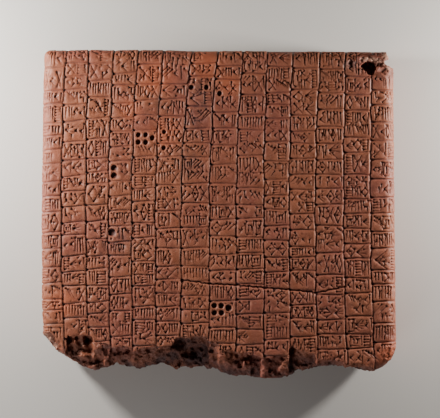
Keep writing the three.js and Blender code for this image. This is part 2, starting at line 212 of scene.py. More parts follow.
class TabletSettings(bpy.types.PropertyGroup):
    """Sizes and colours of the tablet."""

    width: bpy.props.FloatProperty(
        name="Width", description="Width across the columns",
        default=-2 * CAD_LOW.x, unit="LENGTH")
    height: bpy.props.FloatProperty(
        name="Height", description="Height from head to foot",
        default=0.2214, unit="LENGTH")
    thickness: bpy.props.FloatProperty(
        name="Thickness", description="Thickness of the slab",
        default=CAD_HIGH.z, unit="LENGTH")
    obverse_edge: bpy.props.FloatProperty(
        name="Obverse edge", description="Rounding round the written face",
        default=0.008, unit="LENGTH")
    reverse_edge: bpy.props.FloatProperty(
        name="Reverse edge", description="Rounding round the reverse",
        default=0.014, unit="LENGTH")
    head_corner: bpy.props.FloatProperty(
        name="Head corner", description="Corner radius at the head",
        default=0.005, unit="LENGTH")
    foot_corner: bpy.props.FloatProperty(
        name="Foot corner", description="Corner radius at the foot",
        default=0.023, unit="LENGTH")
    reverse_bulge: bpy.props.FloatProperty(
        name="Reverse bulge", description="Rise of the reverse towards its edges",
        default=0.003, unit="LENGTH")
    grain_step: bpy.props.FloatProperty(
        name="Mesh step", description="Spacing of the mesh before it is thinned",
        default=0.0008, unit="LENGTH")
    ruling_depth: bpy.props.FloatProperty(
        name="Ruling depth", description="Depth of the column rulings",
        default=0.0007, unit="LENGTH")
    ruling_width: bpy.props.FloatProperty(
        name="Ruling width", description="Width of the column rulings",
        default=0.0014, unit="LENGTH")
    case_depth: bpy.props.FloatProperty(
        name="Case line depth", description="Depth of the lines between cases",
        default=0.0008, unit="LENGTH")
    case_width: bpy.props.FloatProperty(
        name="Case line width", description="Width of the lines between cases",
        default=0.0013, unit="LENGTH")
    stroke_depth: bpy.props.FloatProperty(
        name="Stroke depth", description="Depth of a stroke at its head",
        default=0.0016, unit="LENGTH")
    stroke_head: bpy.props.FloatProperty(
        name="Stroke head", description="Width of a stroke at its head",
        default=0.0022, unit="LENGTH")
    seed: bpy.props.IntProperty(
        name="Seed", description="Chooses another set of strokes", default=7)
    clay: bpy.props.FloatVectorProperty(
        name="Clay", description="Colour of the clay",
        subtype="COLOR", size=3, default=(0.245, 0.073, 0.034))
    red_clay: bpy.props.FloatVectorProperty(
        name="Red clay", description="Colour of the redder patches",
        subtype="COLOR", size=3, default=(0.225, 0.062, 0.038))
    # The dark clay colour serves for stains and the break, and also as painted shade in the marks'
    # hollows, deeper on the break and at the foot.
    dark_clay_and_shade: bpy.props.FloatVectorProperty(
        name="Dark clay", description="Colour of the break and of the marks' floors",
        subtype="COLOR", size=3, default=(0.052, 0.019, 0.020))


class StudioSettings(bpy.types.PropertyGroup):
    """The floor, the lights and the camera."""

    floor_colour: bpy.props.FloatVectorProperty(
        name="Floor", description="Colour of the floor",
        subtype="COLOR", size=3, default=(0.62, 0.61, 0.59))
    left_power: bpy.props.FloatProperty(
        name="Left light", description="Power of the light at the upper left",
        default=2.5, unit="POWER")
    right_power: bpy.props.FloatProperty(
        name="Right light", description="Power of the light at the upper right",
        default=2.5, unit="POWER")
    foot_power: bpy.props.FloatProperty(
        name="Foot light", description="Power of the soft light beyond the foot",
        default=1.0, unit="POWER")
    camera_height: bpy.props.FloatProperty(
        name="Camera height", description="Height of the camera above the ground",
        default=1.6, unit="LENGTH")


def in_mm(settings, name):
    """A setting's length in millimetres."""
    return getattr(settings, name) / MM


def smooth(value, low, high):
    """A soft step from 0 at low to 1 at high."""
    part = np.clip((value - low) / (high - low), 0, 1)
    return part * part * (3 - 2 * part)


def bell(away, size):
    """A bell curve: 1 in its middle, and a third of that at the given size."""
    return np.exp(-(away / size) ** 2)


# Outline of the slab, the same as the solid's but for a slightly rounder foot corner.

class Form:
    """The tablet's sizes in millimetres, and where its skin lies."""

    left_bow = 1.8
    right_lean = 2.6
    head_lean = 1.2
    foot_corner_rise = 7
    foot_overhang = 1
    reverse_flat = 0.5

    def __init__(self, settings):
        self.half_width = in_mm(settings, "width") / 2
        self.half_height = in_mm(settings, "height") / 2
        self.thickness = in_mm(settings, "thickness")
        self.obverse_edge = in_mm(settings, "obverse_edge")
        self.reverse_edge = in_mm(settings, "reverse_edge")
        self.head_corner = in_mm(settings, "head_corner")
        self.foot_corner = in_mm(settings, "foot_corner")
        self.reverse_bulge = in_mm(settings, "reverse_bulge")
        self.shoulder = self.thickness - self.obverse_edge
        self.lip_level = self.thickness * BREAK_LIP_LEVEL

    def across(self, share):
        return 2 * self.half_width * share / WIDTH_SHARES - self.half_width

    def share_across(self, x):
        return (x + self.half_width) * WIDTH_SHARES / (2 * self.half_width)

    def down(self, share):
        return self.half_height - 2 * self.half_height * share / HEIGHT_SHARES

    def settle(self, x, y):
        """Moves points of the plain plan to the tablet's own uneven outline."""
        across = (x + self.half_width) / (2 * self.half_width)
        down = (self.half_height - y) / (2 * self.half_height)
        left_in = self.left_bow * (2 * down - 1) ** 2
        right_in = self.right_lean * (1 - down)
        foot = self.foot_corner_rise * (x / self.half_width) ** 2 - self.foot_overhang
        up = np.clip(1 - down, 0, None)
        return (x + left_in * (1 - across) - right_in * across,
                y - self.head_lean * across * up ** 8 + foot * np.clip(down, 0, None) ** 10)

    def unsettle(self, x, y):
        """Takes points back to the plain plan, near enough for so small a move."""
        moved_x, moved_y = self.settle(x, y)
        return 2 * x - moved_x, 2 * y - moved_y

    def skin(self, x, y, z):
        """Takes points on the skin of a plain block to the tablet's skin."""
        place = np.stack([x, y])
        half = np.array([[self.half_width], [self.half_height]])
        inset = np.clip(np.min(half - np.abs(place), axis=0), 0, None)
        upper = z > self.thickness / 2
        edge = np.where(upper, self.obverse_edge, self.reverse_edge)
        turn = np.minimum(inset / edge, 1) * math.pi / 2
        in_border = inset < edge
        ring = np.where(in_border, edge * (1 - np.cos(turn)), inset)
        reach = np.where(in_border, half - inset, 1)
        place = np.where(in_border, place * (half - ring) / reach, place)
        radius = np.where(y > 0, self.head_corner, self.foot_corner)
        past = np.abs(place) - (half - radius)
        corner = (past > 0).all(axis=0) & (ring < radius)
        pull = np.where(corner, (radius - ring) / np.maximum(np.hypot(*past), 1e-9), 1)
        place = np.where(corner, np.sign(place) * (half - radius + past * pull), place)
        level = z / self.thickness
        side = self.reverse_edge + (self.shoulder - self.reverse_edge) * level
        top = self.shoulder + self.obverse_edge * np.sin(turn)
        under = self.reverse_edge * (1 - np.sin(turn))
        height = np.where(inset > 0, np.where(upper, top, under), side)
        share = np.max(np.abs(place) / half, axis=0)
        outward = np.clip((share - self.reverse_flat) / (1 - self.reverse_flat), 0, 1)
        height += np.where(upper, 0, self.reverse_bulge * outward ** 2 * (1 - level))
        return np.stack([*self.settle(*place), height], axis=1)

    def unroll(self, points):
        """Where points of the upper skin lie on the flat canvas, edges rolled out."""
        x, y = self.unsettle(points[:, 0], points[:, 1])
        z = points[:, 2]
        edge = self.obverse_edge
        rolled = []
        for place, half in ((x, self.half_width), (y, self.half_height)):
            past = np.abs(place) - (half - edge)
            angle = np.arctan2(np.maximum(past, 0), np.maximum(z - self.shoulder, 1e-6))
            below = np.maximum(self.shoulder - z, 0)
            out = half - edge + edge * angle + below
            rolled.append(np.where(past > 0, np.sign(place) * out, place))
        return rolled

    def break_line(self, x, z):
        """How far up the tablet the break runs, at a place across and a level."""
        places, faces, lips = np.array(BREAK).T
        face = self.down(np.interp(self.share_across(x), places, faces))
        lip = self.down(np.interp(self.share_across(x), places, lips))
        level = z / self.thickness
        under = np.clip(1 - level / BREAK_LIP_LEVEL, 0, 1)
        sunk = np.clip((1 - level) / (1 - BREAK_LIP_LEVEL), 0, 1)
        upper = face + (lip - face) * sunk ** BREAK_ROUNDING
        return np.where(level < BREAK_LIP_LEVEL, lip + BREAK_UNDERCUT * under ** 2, upper)

    def ruling_x(self, number, y):
        """Where a ruling stands; the first and the last are the tablet's sides."""
        place = sum(COLUMNS[:number])
        if number in (0, len(COLUMNS)):
            return self.across(place) + 0 * y
        up = y / self.half_height - RULING_TURN
        foot = RULING_FOOT_LEAN * math.cos(2 * math.pi * number / len(COLUMNS))
        lean = np.where(up > 0, RULING_LEAN[number - 1], foot)
        return self.across(place + lean * up ** 2)

    def column_sides(self, column, level, beyond):
        """The sides of a column, which run on beyond the tablet's own sides."""
        left = float(self.ruling_x(column, level))
        right = float(self.ruling_x(column + 1, level))
        if column == 0:
            left -= beyond
        if column == len(COLUMNS) - 1:
            right += beyond
        return left, right


# Chance values that are the same in every run.

PRIMES = (73856093, 19349663, 83492791)
SEED_PRIME = 2654435761
MIXERS = ((13, 1274126177), (16, 374761393))
LARGEST = 0x7FFFFFFF


def chance_at(corner, seed):
    """The same chance value from -1 to 1 for the same whole-number place."""
    key = corner[:, 0] * PRIMES[0] ^ corner[:, 1] * PRIMES[1] ^ corner[:, 2] * PRIMES[2]
    key = (key ^ seed * SEED_PRIME) & LARGEST
    for shift, mixer in MIXERS:
        key = ((key ^ (key >> shift)) * mixer) & LARGEST
    return key / (LARGEST // 2) - 1


def lumps(points, size, seed):
    """Chance values from -1 to 1 that change smoothly over the given size."""
    place = points / size
    corner = np.floor(place).astype(np.int64)
    part = place - corner
    part = part * part * (3 - 2 * part)
    total = np.zeros(len(points))
    for step in np.ndindex(2, 2, 2):
        weight = np.prod(np.where(np.array(step) == 1, part, 1 - part), axis=1)
        total += weight * chance_at(corner + np.array(step), seed)
    return total


def flakes(points, size, seed):
    """Flat tilted patches of the given size, with sharp steps where they meet."""
    place = points / size
    corner = np.floor(place).astype(np.int64)
    nearest = np.full(len(points), np.inf)
    total = np.zeros(len(points))
    for step in np.ndindex(3, 3, 3):
        at = corner + np.array(step) - 1
        jitter = np.stack([chance_at(at, seed + n) for n in range(3)], axis=1)
        aside = place - at - 0.5 - 0.45 * jitter
        away = np.sum(aside ** 2, axis=1)
        tilt = np.stack([chance_at(at, seed + 3 + n) for n in range(3)], axis=1)
        level = chance_at(at, seed + 6) * 0.6 + np.sum(aside * tilt, axis=1)
        closer = away < nearest
        total[closer] = level[closer]
        nearest[closer] = away[closer]
    return total


# Kinds of rough clay, each made of layers with a height, a kind, a size and a seed.
WALL_CRAGS = ((1.3, flakes, 9, 30), (0.9, lumps, 4, 4), (0.5, lumps, 1.8, 5))
LEDGE_CRAGS = ((1.9, flakes, 8, 40), (1.3, flakes, 3.6, 50), (0.5, lumps, 1.4, 7))
TORN_CLAY = ((0.5, flakes, 2.6, 60), (0.3, lumps, 2.4, 23), (0.22, lumps, 1.2, 24))
BARE_CLAY = ((0.14, lumps, 6, 21),)


def rough_heights(points, layers):
    """Heights of a kind of rough clay at the given points."""
    return sum(height * kind(points, size, seed) for height, kind, size, seed in layers)


# The flat canvas that the written face is worked out on.

class Canvas:
    """A flat sheet of heights over the obverse and a margin that rolls round it."""

    step = 0.25
    margin = 26

    def __init__(self, form):
        self.left = -form.half_width - self.margin
        self.head = form.half_height + self.margin
        self.columns = int(-2 * self.left / self.step)
        self.rows = int(2 * self.head / self.step)
        self.x = self.left + self.step * np.arange(self.columns)
        self.y = self.head - self.step * np.arange(self.rows)
        self.base = np.zeros((self.rows, self.columns))
        self.cuts = np.zeros((self.rows, self.columns))

    def window(self, low_x, high_x, low_y, high_y):
        """A part of the sheet, and the places of its cells across and down."""
        first_column = max(int((low_x - self.left) / self.step), 0)
        last_column = min(int((high_x - self.left) / self.step) + 2, self.columns)
        first_row = max(int((self.head - high_y) / self.step), 0)
        last_row = min(int((self.head - low_y) / self.step) + 2, self.rows)
        rows = slice(first_row, last_row)
        columns = slice(first_column, last_column)
        return (rows, columns), self.x[None, columns], self.y[rows, None]

    def around(self, x, y, reach):
        return self.window(x - reach, x + reach, y - reach, y + reach)

    def press(self, part, cut):
        """Cuts into a part of the sheet where it isn't cut deeper already."""
        self.cuts[part] = np.maximum(self.cuts[part], cut)

    def cloud(self, size, seed):
        """Smooth random heights of unit spread, with lumps of the given size."""
        chance = np.random.default_rng(seed).standard_normal((self.rows, self.columns))
        soft = self.blur(chance, size)
        return soft / soft.std()

    def blur(self, sheet, size):
        """Softens a sheet by a bell curve of the given half width."""
        rows = np.fft.fftfreq(self.rows, self.step)[:, None]
        columns = np.fft.rfftfreq(self.columns, self.step)[None, :]
        keep = np.exp(-2 * (math.pi * size) ** 2 * (rows ** 2 + columns ** 2))
        return np.fft.irfft2(np.fft.rfft2(sheet) * keep, s=sheet.shape)

    def sample(self, sheet, x, y):
        """Heights of a sheet at points, evenly blended between its cells."""
        column = np.clip((x - self.left) / self.step, 0, self.columns - 1.001)
        row = np.clip((self.head - y) / self.step, 0, self.rows - 1.001)
        c = column.astype(int)
        r = row.astype(int)
        across = column - c
        down = row - r
        top = sheet[r, c] * (1 - across) + sheet[r, c + 1] * across
        low = sheet[r + 1, c] * (1 - across) + sheet[r + 1, c + 1] * across
        return top * (1 - down) + low * down


def groove(away, width):
    """How deep a groove with a narrow flat floor is, from 0 to 1."""
    return np.clip(1.15 - 2 * away / width, 0, 1)


def rule_columns(canvas, form, settings):
    """Presses the rulings, each in a shallow dip with a raised rim on its left."""
    width = in_mm(settings, "ruling_width")
    depth = in_mm(settings, "ruling_depth")
    dip_depth = 0.35
    dip_width = 1.4
    rim_place = -1.25
    rim_width = 0.6
    y = canvas.y[:, None]
    for number in range(1, len(COLUMNS)):
        waver = 0.3 * np.sin(y / 9 + number * 2.1) + 0.25 * np.sin(y / 4.1 + number)
        aside = canvas.x[None, :] - form.ruling_x(number, y) - waver
        away = np.abs(aside)
        strength = 0.75 + 0.3 * np.sin(y / 6.3 + number * 5)
        canvas.press(slice(None), depth * strength * groove(away, width))
        canvas.base -= dip_depth * bell(away, dip_width)
        rim_height = 0.26 + 0.14 * np.sin(y / 4.7 + number)
        canvas.base += rim_height * bell(aside - rim_place, rim_width)


def case_edges(column):
    """How far down the edges of a column's cases lie."""
    edges = [0]
    for height in CASES[column]:
        edges.append(edges[-1] + height)
    return edges


def rule_cases(canvas, form, settings):
    """Presses the case lines, wider and deeper where the stylus first touches."""
    width = in_mm(settings, "case_width")
    depth = in_mm(settings, "case_depth")
    reach = 6
    touch_length = 2
    touch_stroke = 4.2
    dip_depth = 0.16
    dip_width = 0.9
    for column in range(len(COLUMNS)):
        slant = CASE_SLANT * (1 - column / len(COLUMNS)) ** 3
        for row, share in enumerate(case_edges(column)[1:]):
            level = form.down(share)
            left, right = form.column_sides(column, level, canvas.margin / 2)
            part, x, y = canvas.window(left, right, level - reach, level + reach)
            run = (x - left) / (right - left)
            sag = 0.35 * np.sin(run * 3 + column * 1.7 + row * 2.3)
            away = np.abs(y - level - slant * (run - 0.5) - sag)
            inside = smooth(x, left - 0.4, left + 0.4) * smooth(-x, -right - 0.4, -right + 0.4)
            touch = bell(np.maximum(x - left, 0), touch_length)
            fade = 1.05 - 0.45 * run + 0.4 * touch
            cut = depth * fade * groove(away, width * (1 + 0.8 * touch))
            canvas.press(part, cut * inside)
            canvas.base[part] -= dip_depth * bell(away, dip_width) * inside
            if column > 0:
                start_y = level - slant / 2 + 0.2
                press_stroke(canvas, left - 0.3, start_y, 0, touch_stroke, 2.2 * width, 1.9 * depth)


def press_stroke(canvas, x, y, angle, length, head, depth):
    """One press of the stylus: a wide deep head at x, y that runs out to a point."""
    start_length = 0.5
    end_length = 0.8
    end_x = x + length * math.cos(angle)
    end_y = y + length * math.sin(angle)
    part, at_x, at_y = canvas.window(min(x, end_x) - head, max(x, end_x) + head,
                                     min(y, end_y) - head, max(y, end_y) + head)
    along = (at_x - x) * math.cos(angle) + (at_y - y) * math.sin(angle)
    aside = (at_y - y) * math.cos(angle) - (at_x - x) * math.sin(angle)
    run = np.clip(along / length, 0, 1)
    tail_width = 0.44 - 0.16 * run
    tail_depth = 0.6 - 0.2 * run
    half = head / 2 * np.maximum(1 - 1.1 * along / head, tail_width)
    deep = depth * np.clip(1 + along / start_length, 0, 1)
    deep = deep * np.maximum(0.9 - 0.25 * along / head, tail_depth)
    deep *= np.clip((length - along) / end_length, 0, 1)
    canvas.press(part, deep * np.clip(1.08 - np.abs(aside) / half, 0, 1))


# Groups of strokes for a box of the given width and height. Each stroke has its start
# as shares of the box, its angle and its length. None of the groups is a sign: they
# only repeat the ways in which a stylus is laid.

DOWN = -math.pi / 2


def comb(width, height, chance):
    count = max(2, round(width / 1.9))
    for n in range(count):
        yield (n + 0.5) / count, chance.uniform(0.86, 0.96), DOWN, height * chance.uniform(0.78, 0.9)


def ladder(width, height, chance):
    count = max(2, round(height / 2))
    for n in range(count):
        yield 0.1, (n + 0.5) / count, chance.uniform(-0.08, 0.08), width * chance.uniform(0.75, 0.88)
    yield 0.88, 0.92, DOWN, height * 0.88


def hooks(width, height, chance):
    count = 1 if width < 6.5 else 2
    for n in range(count):
        x = (n + 0.2) / count
        y = chance.uniform(0.45, 0.58)
        size = min(width / count, height) * 0.7
        yield x, y, 0.8, size
        yield x, y, -0.8, size
    yield 0.94, 0.94, DOWN, height * 0.85


def lozenge(width, height, chance):
    lean = math.atan2(height, width)
    size = math.hypot(width, height) * 0.46
    yield 0.08, 0.5, lean, size
    yield 0.08, 0.5, -lean, size
    yield 0.5, 0.92, -lean, size
    yield 0.5, 0.08, lean, size
    if chance.random() < 0.6:
        yield 0.35, 0.5, 0, width * 0.4


def chest(width, height, chance):
    yield 0.12, 0.92, DOWN, height * 0.84
    yield 0.88, 0.92, DOWN, height * 0.86
    yield 0.14, 0.88, 0, width * 0.72
    yield 0.14, 0.1, 0, width * 0.72
    if width > 5.5:
        yield 0.38, 0.66, DOWN, height * 0.42
    yield 0.62, 0.66, DOWN, height * 0.42


def crossing(width, height, chance):
    lean = math.atan2(height, width)
    size = math.hypot(width, height) * 0.86
    yield 0.1, 0.9, -lean, size
    yield 0.1, 0.1, lean, size
    if width > 6:
        yield 0.92, 0.92, DOWN, height * 0.8


def fan(width, height, chance):
    y = chance.uniform(0.4, 0.6)
    for angle in (0.75, 0.28, -0.22, -0.7):
        yield 0.1, y, angle, min(width, height) * 0.95


def stairs(width, height, chance):
    lean = chance.choice((-0.8, -1.1, -2.3))
    first = 0.4 if lean < -2 else 0.2
    for n in range(3):
        yield first + 0.3 * n, 0.92 - 0.08 * n, lean, height * 0.7


def scatter(width, height, chance):
    for n in range(4):
        angle = chance.choice((DOWN, DOWN, 0, -0.8, -2.3))
        x = n % 2 * 0.5 + chance.uniform(0.15, 0.35)
        yield x, 0.92 - n // 2 * 0.46, angle, height * chance.uniform(0.42, 0.55)


GROUPS = (comb, comb, ladder, hooks, lozenge, chest, crossing, fan, stairs, scatter)
GROUP_CHANCE = 0.94

# One loose stroke is added for so many square millimetres of a case.
CASE_PER_STROKE = 24

# Cases taller than this are written in two lines.
ONE_LINE_HEIGHT = 14

# Shares of a case's width that its groups take.
SPREADS = ((0.5, 0.5), (0.34, 0.33, 0.33), (0.3, 0.4, 0.3), (0.62, 0.38), (0.4, 0.6),
           (0.28, 0.44, 0.28), (0.36, 0.36, 0.28), (0.24, 0.26, 0.25, 0.25))


def write_case(canvas, box, settings, chance):
    """Fills a case with groups of strokes, side by side, and sometimes leaves a gap."""
    left, foot, width, height = box
    head = in_mm(settings, "stroke_head")
    depth = in_mm(settings, "stroke_depth")
    lines = 2 if height > ONE_LINE_HEIGHT else 1
    tall = height / lines
    for line in range(lines):
        low = foot + height * (lines - 1 - line) / lines
        place = left
        for share in chance.choice(SPREADS):
            wide = width * share
            if chance.random() < GROUP_CHANCE:
                group = chance.choice(GROUPS)
                for across, up, angle, length in group(wide, tall, chance):
                    size = chance.uniform(0.8, 1.1)
                    angle += chance.uniform(-0.08, 0.08)
                    press_stroke(canvas, place + wide * across, low + tall * up, angle,
                                 length, head * size, depth * size)
            place += wide
    for _ in range(round(width * height / CASE_PER_STROKE)):
        x = left + width * chance.uniform(0.05, 0.85)
        y = foot + height * chance.uniform(0.3, 0.92)
        angle = chance.choice((DOWN, DOWN, 0, 0.8, -0.8, -2.3))
        size = chance.uniform(0.6, 0.85)
        press_stroke(canvas, x, y, angle, height * 0.32, head * size, depth * size)


def write_cases(canvas, form, settings):
    """Writes every case, with a gap inside its lines, and runs over the edges."""
    chance = random.Random(settings.seed)
    side_gap = 1.3
    end_gap = 0.7 * side_gap
    over_side = 5
    over_head = 2
    for column in range(len(COLUMNS)):
        edges = case_edges(column)
        edges.append(edges[-1] + LAST_CASE_HEIGHT)
        for row in range(len(edges) - 1):
            head = form.down(edges[row])
            foot = form.down(edges[row + 1])
            left, right = form.column_sides(column, (head + foot) / 2, over_side)
            if row == 0:
                head += over_head
            box = (left + side_gap, foot + end_gap,
                   right - left - 2 * side_gap, head - foot - 2 * end_gap)
            write_case(canvas, box, settings, chance)


def press_numbers(canvas, form):
    """Presses the round marks, deeper at the head, and clears the clay round them."""
    depth = 2
    for across, down, count, in_row, spacing, diameter in NUMBERS:
        for n in range(count):
            x = form.across(across) + spacing * (n % in_row)
            y = form.down(down) - spacing * (n // in_row)
            radius = diameter / 2
            part, at_x, at_y = canvas.around(x, y, 2 * radius)
            away = np.hypot(at_x - x, at_y - y)
            cut = depth * smooth(-away, -radius - 0.35, -radius + 0.9)
            cut *= np.clip(1 + 0.35 * (at_y - y) / radius, 0.6, 1.4)
            canvas.cuts[part] *= smooth(away, radius + 0.2, radius + 1.2)
            canvas.press(part, cut)


def open_crack(canvas, form):
    """Opens the wavering hairline crack."""
    reach = 3
    depth = 1.7
    half_width = 0.75
    places = [(form.across(across), form.down(down)) for across, down in CRACK]
    for (x, y), (end_x, end_y) in zip(places, places[1:]):
        part, at_x, at_y = canvas.window(x - reach, end_x + reach,
                                         min(y, end_y) - reach, max(y, end_y) + reach)
        run = np.clip((at_x - x) / (end_x - x), 0, 1)
        line = y + (end_y - y) * run + 0.4 * np.sin(at_x * 1.3) * np.sin(at_x * 0.37)
        away = np.hypot(at_y - line, np.clip(x - at_x, 0, None))
        away = np.hypot(away, np.clip(at_x - end_x, 0, None))
        canvas.press(part, depth * np.clip(1.1 - away / half_width, 0, 1))


def scatter_pits(canvas, seed):
    """Small losses from wear, thinly scattered over the face."""
    chance = random.Random(seed)
    pits = 420
    for _ in range(pits):
        x = chance.uniform(canvas.left, -canvas.left)
        y = chance.uniform(-canvas.head, canvas.head)
        radius = chance.uniform(0.35, 1.1)
        part, at_x, at_y = canvas.around(x, y, 2 * radius)
        away = np.hypot(at_x - x, at_y - y)
        canvas.press(part, radius * 0.6 * smooth(-away, -radius, 0))


def write_obverse(form, settings):
    """Rules, writes and weathers the obverse, and returns its canvas and heights."""
    sunk = 0.35
    softness = 0.11
    canvas = Canvas(form)
    rule_columns(canvas, form, settings)
    rule_cases(canvas, form, settings)
    write_cases(canvas, form, settings)
    canvas.cuts *= 1 - 0.16 * np.clip(canvas.cloud(9, settings.seed) - 0.2, 0, 2)
    press_numbers(canvas, form)
    open_crack(canvas, form)
    scatter_pits(canvas, settings.seed)
    pushed_up = 0.3 * canvas.blur(canvas.cuts, 1.0)
    sway = 0.2 * canvas.cloud(7, settings.seed + 1) + 0.05 * canvas.cloud(1.2, settings.seed + 2)
    heights = canvas.base - canvas.cuts + pushed_up + sway
    return canvas, canvas.blur(heights, softness) - sunk


# Making and cutting the clay.

def deselect_all():
    bpy.ops.object.select_all(action="DESELECT")


def read_vectors(items, name):
    """A vector of each item of a mesh, one in a row."""
    values = np.empty(len(items) * 3)
    items.foreach_get(name, values)
    return values.reshape(-1, 3)


def read_points(piece):
    return read_vectors(piece.data.vertices, "co") / MM


def move_points(piece, points):
    piece.data.vertices.foreach_set("co", (points * MM).ravel())
    piece.data.update()


def keep_inside(piece, points):
    """Moves the piece's points to the given ones, held inside the frame's box."""
    low = np.array(CAD_LOW) / MM
    high = np.array(CAD_HIGH) / MM
    move_points(piece, np.clip(points, low, high))


def apply_modifier(piece, kind, **values):
    modifier = piece.modifiers.new(kind.title(), kind)
    for name, value in values.items():
        setattr(modifier, name, value)
    bpy.context.view_layer.objects.active = piece
    bpy.ops.object.modifier_apply(modifier=modifier.name)


def crowd(place, half, edge):
    """Crowds the steps of an even grid into the rounded border."""
    even = 0.7
    size = np.abs(place)
    inner = (half - edge) * size / even
    outer = half - edge * (1 - size) / (1 - even)
    return np.sign(place) * np.where(size < even, inner, outer)


def make_slab(form):
    """The pressed slab of clay, before it was written on and broken."""
    steps = 60
    deselect_all()
    bpy.ops.mesh.primitive_cube_add(size=2 * MM)
    slab = bpy.context.object
    slab.name = NODE + "_relief"
    bpy.ops.object.mode_set(mode="EDIT")
    bpy.ops.mesh.select_all(action="SELECT")
    bpy.ops.mesh.subdivide(number_cuts=steps - 1)
    bpy.ops.object.mode_set(mode="OBJECT")
    unit = read_points(slab)
    level = (unit[:, 2] + 1) / 2
    edge = form.reverse_edge + (form.obverse_edge - form.reverse_edge) * level
    x = crowd(unit[:, 0], form.half_width, edge)
    y = crowd(unit[:, 1], form.half_height, edge)
    move_points(slab, form.skin(x, y, level * form.thickness))
    return slab


def cut_away(slab, cutter):
    apply_modifier(slab, "BOOLEAN", operation="DIFFERENCE", solver="MANIFOLD", object=cutter)
    bpy.data.objects.remove(cutter)


def add_block(across, along, turn, push):
    """Adds a gridded block of two by two by two for a cutter, and returns it."""
    deselect_all()
    bpy.ops.mesh.primitive_grid_add(x_subdivisions=across, y_subdivisions=along,
                                    size=2 * MM, rotation=(turn, 0, 0))
    block = bpy.context.object
    bpy.ops.object.transform_apply(location=False, rotation=True, scale=False)
    bpy.ops.object.mode_set(mode="EDIT")
    bpy.ops.mesh.select_all(action="SELECT")
    bpy.ops.mesh.extrude_region_move(TRANSFORM_OT_translate={"value": push})
    bpy.ops.mesh.select_all(action="SELECT")
    bpy.ops.mesh.normals_make_consistent(inside=False)
    bpy.ops.object.mode_set(mode="OBJECT")
    return block


# How far the cutters of the break reach past the slab.
CUTTER_MARGIN = 6


def break_foot(slab, form):
    """Takes the lost foot away, back to the lip of the break and under it."""
    calm_depth = 4
    calmed = 0.6
    cutter = add_block(across=300, along=66, turn=-math.pi / 2, push=(0, -2 * MM, 0))
    points = read_points(cutter)
    front = points[:, 1] > -1
    x = points[:, 0] * (form.half_width + CUTTER_MARGIN)
    z = (points[:, 2] + 1) / 2 * (form.thickness + 2 * CUTTER_MARGIN) - CUTTER_MARGIN
    y = form.break_line(x, np.minimum(z, form.lip_level))
    crag = rough_heights(np.stack([x, y, z], axis=1), WALL_CRAGS)
    y = y + crag * (1 - calmed * smooth(z, form.thickness - calm_depth, form.thickness))
    y = np.where(front, y, -2 * form.half_height)
    move_points(cutter, np.stack([x, y, z], axis=1))
    cut_away(slab, cutter)


def break_face(slab, form):
    """Breaks the written face away above the lip, down to craggy ledges."""
    cutter = add_block(across=420, along=96, turn=0, push=(0, 0, 2 * MM))
    points = read_points(cutter)
    lower = points[:, 2] < 1
    x = points[:, 0] * (form.half_width + CUTTER_MARGIN)
    highest = form.down(FRACTURE[0][1]) + CUTTER_MARGIN
    lowest = -form.half_height - CUTTER_MARGIN
    y = lowest + (points[:, 1] + 1) / 2 * (highest - lowest)
    below = form.thickness - fracture_depth(form, x, y)
    z = np.where(lower, below, form.thickness + 3 * CUTTER_MARGIN)
    move_points(cutter, np.stack([x, y, z], axis=1))
    cut_away(slab, cutter)


def fracture_depth(form, x, y):
    """How deep the top of the break lies under the face, and above it outside."""
    least = 0.35
    outside = -2
    narrowest = 3
    steepening = 1.5
    flat = np.stack([x, y, 0 * x], axis=1)
    share = form.share_across(x)
    places, faces, nears, fars = np.array(FRACTURE).T
    edge = form.down(np.interp(share, places, faces)) + 0.7 * lumps(flat, 3.5, 6)
    near = np.interp(share, places, nears)
    far = np.interp(share, places, fars)
    lip = form.break_line(x, form.lip_level + 0 * x)
    out = (edge - y) / np.maximum(edge - lip, narrowest)
    depth = near + (far - near) * np.clip(out, 0, 1.2) ** steepening
    for across, down, wide, tall, high in CRAGS:
        aside_x = (x - form.across(across)) / wide
        aside_y = (y - form.down(down)) / tall
        depth -= high * np.exp(-aside_x ** 2 - aside_y ** 2)
    crag = rough_heights(flat, LEDGE_CRAGS)
    depth = np.maximum(depth + crag * np.clip(depth / 4, 0.25, 1), least)
    return np.where(y < edge, depth, outside)


def knock_out(slab, centre, size, seed):
    """Knocks a rough lump out of the clay. Places and sizes are in millimetres."""
    unevenness = 0.22
    deselect_all()
    bpy.ops.mesh.primitive_ico_sphere_add(subdivisions=5, radius=MM)
    cutter = bpy.context.object
    points = read_points(cutter)
    rough = lumps(points, 0.55, seed) + 0.5 * lumps(points, 0.25, seed + 1)
    points *= (1 + unevenness * rough)[:, None]
    move_points(cutter, points * np.array(size) + np.array(centre))
    cut_away(slab, cutter)


def chip_edges(slab, form):
    for across, down, level, wide, tall, deep, seed in LOSSES:
        centre = (form.across(across), form.down(down), form.thickness + level)
        knock_out(slab, centre, (wide, tall, deep), seed)


def refine_face(piece, form):
    """Divides the mesh of the upper side more finely, to hold the writing."""
    mesh = piece.data
    rise = read_vectors(mesh.polygons, "normal")[:, 2]
    level = read_vectors(mesh.polygons, "center")[:, 2] / MM
    upper = (rise > 0.25) & (level > form.thickness / 3)
    deselect_all()
    bpy.context.view_layer.objects.active = piece
    bpy.ops.object.mode_set(mode="EDIT")
    bpy.ops.mesh.select_mode(type="FACE")
    bpy.ops.mesh.select_all(action="DESELECT")
    bpy.ops.object.mode_set(mode="OBJECT")
    mesh.polygons.foreach_set("select", upper)
    bpy.ops.object.mode_set(mode="EDIT")
    bpy.ops.mesh.subdivide(number_cuts=1)
    bpy.ops.object.mode_set(mode="OBJECT")


def spots(points, form, places):
    """How far each point lies within any of the given spots, from above."""
    share = np.zeros(len(points))
    for across, down, size in places:
        away = np.hypot(points[:, 0] - form.across(across), points[:, 1] - form.down(down))
        share = np.maximum(share, bell(away, size))
    return share


